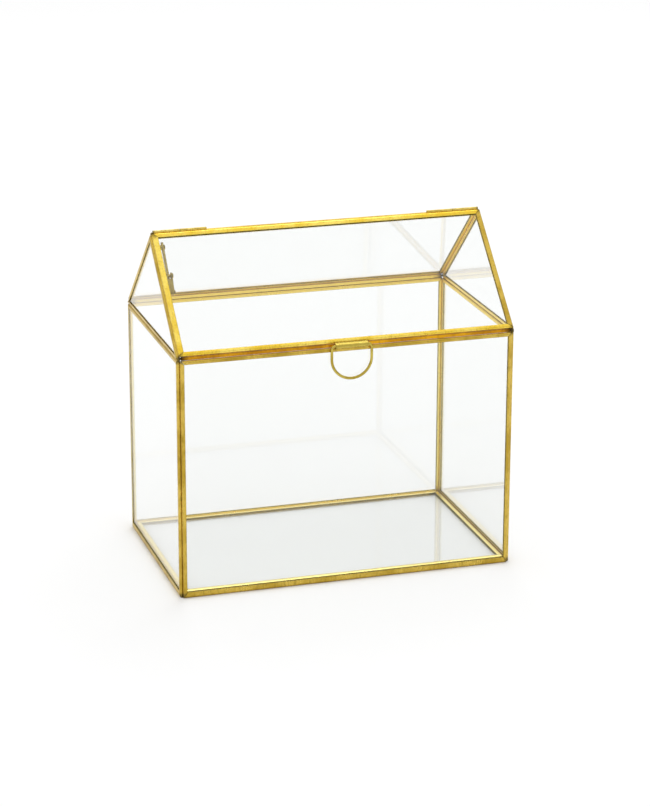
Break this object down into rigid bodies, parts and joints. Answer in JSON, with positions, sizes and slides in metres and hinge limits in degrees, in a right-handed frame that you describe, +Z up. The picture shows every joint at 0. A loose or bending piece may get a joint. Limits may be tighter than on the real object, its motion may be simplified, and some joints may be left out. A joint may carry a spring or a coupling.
{
  "type": "wedding card box",
  "caption": "House-shaped clear glass box with brass edging, a hinged front roof panel with a D-ring pull, and a folding stay at one gable.",
  "frame": {"origin": "middle of the underside of the outer size, with the pull included", "axes": "+X along the ridge to the right as seen from the front, +Y from the front to the back, +Z up"},
  "size_m": [0.21, 0.1323, 0.2113],
  "materials": {
    "frame_brass": "satin, lightly striated, darker at the soldered corners",
    "door_brass": "satin, brighter than the frame",
    "eave_brass": "satin, deep orange in the groove, dark at the ends",
    "hinge_brass": "satin",
    "pull_brass": "satin wire and tube",
    "stay_brass": "satin, lightly brushed",
    "clear_glass": "polished clear sheet"
  },
  "bodies": {
    "box": {"back_channel_bottom": "frame_brass", "back_channel_left": "frame_brass", "back_channel_right": "frame_brass", "back_channel_top": "frame_brass", "back_pane": "clear_glass", "eave_rail_back": "eave_brass", "eave_rail_front": "eave_brass", "floor_channel_back": "frame_brass", "floor_channel_front": "frame_brass", "floor_channel_left": "frame_brass", "floor_channel_right": "frame_brass", "floor_pane": "clear_glass", "front_channel_bottom": "frame_brass", "front_channel_left": "frame_brass", "front_channel_right": "frame_brass", "front_channel_top": "frame_brass", "front_pane": "clear_glass", "gable_left_channel_back": "frame_brass", "gable_left_channel_base": "frame_brass", "gable_left_channel_front": "frame_brass", "gable_left_pane": "clear_glass", "gable_right_channel_back": "frame_brass", "gable_right_channel_base": "frame_brass", "gable_right_channel_front": "frame_brass", "gable_right_pane": "clear_glass", "hinge_left_outer_knuckle": "hinge_brass", "hinge_left_pin": "hinge_brass", "hinge_right_outer_knuckle": "hinge_brass", "hinge_right_pin": "hinge_brass", "left_channel_back": "frame_brass", "left_channel_bottom": "frame_brass", "left_channel_front": "frame_brass", "left_channel_top": "frame_brass", "left_pane": "clear_glass", "right_channel_back": "frame_brass", "right_channel_bottom": "frame_brass", "right_channel_front": "frame_brass", "right_channel_top": "frame_brass", "right_pane": "clear_glass", "roof_back_channel_eave": "frame_brass", "roof_back_channel_left": "frame_brass", "roof_back_channel_ridge": "frame_brass", "roof_back_channel_right": "frame_brass", "roof_back_pane": "clear_glass", "stay_gable_stud": "stay_brass"},
    "door": {"door_channel_eave": "door_brass", "door_channel_left": "door_brass", "door_channel_ridge": "door_brass", "door_channel_right": "door_brass", "door_pane": "clear_glass", "hinge_left_inner_knuckle": "hinge_brass", "hinge_right_inner_knuckle": "hinge_brass", "pull_sleeve": "pull_brass", "stay_door_lug": "stay_brass", "stay_door_rivet": "stay_brass"},
    "ring": {"pull_ring": "pull_brass"},
    "long_link": {"stay_long_link": "stay_brass", "stay_elbow_rivet": "stay_brass"},
    "short_link": {"stay_short_link": "stay_brass"}
  },
  "joints": [
    {"name": "door_hinge", "type": "hinge", "parent": "box", "child": "door", "pos_m": [0, 0.0015, 0.21041], "axis": [-1, 0, 0], "range_deg": [0, 105]},
    {"name": "ring_hinge", "type": "hinge", "parent": "door", "child": "ring", "pos_m": [0.0011, -0.06465, 0.1503], "axis": [-1, 0, 0], "range_deg": [0, 190]},
    {"name": "stay_gable_pivot", "type": "hinge", "parent": "box", "child": "long_link", "pos_m": [-0.09825, -0.0032, 0.20148], "axis": [-1, 0, 0], "range_deg": [0, 105]},
    {"name": "stay_door_pivot", "type": "hinge", "parent": "door", "child": "short_link", "pos_m": [-0.09825, -0.01775, 0.18776], "axis": [-1, 0, 0], "range_deg": [-105, 0]}
  ],
  "couplings": [
    {"joint": "stay_gable_pivot", "follows": "door_hinge", "ratio": 1},
    {"joint": "stay_door_pivot", "follows": "door_hinge", "ratio": -1}
  ]
}
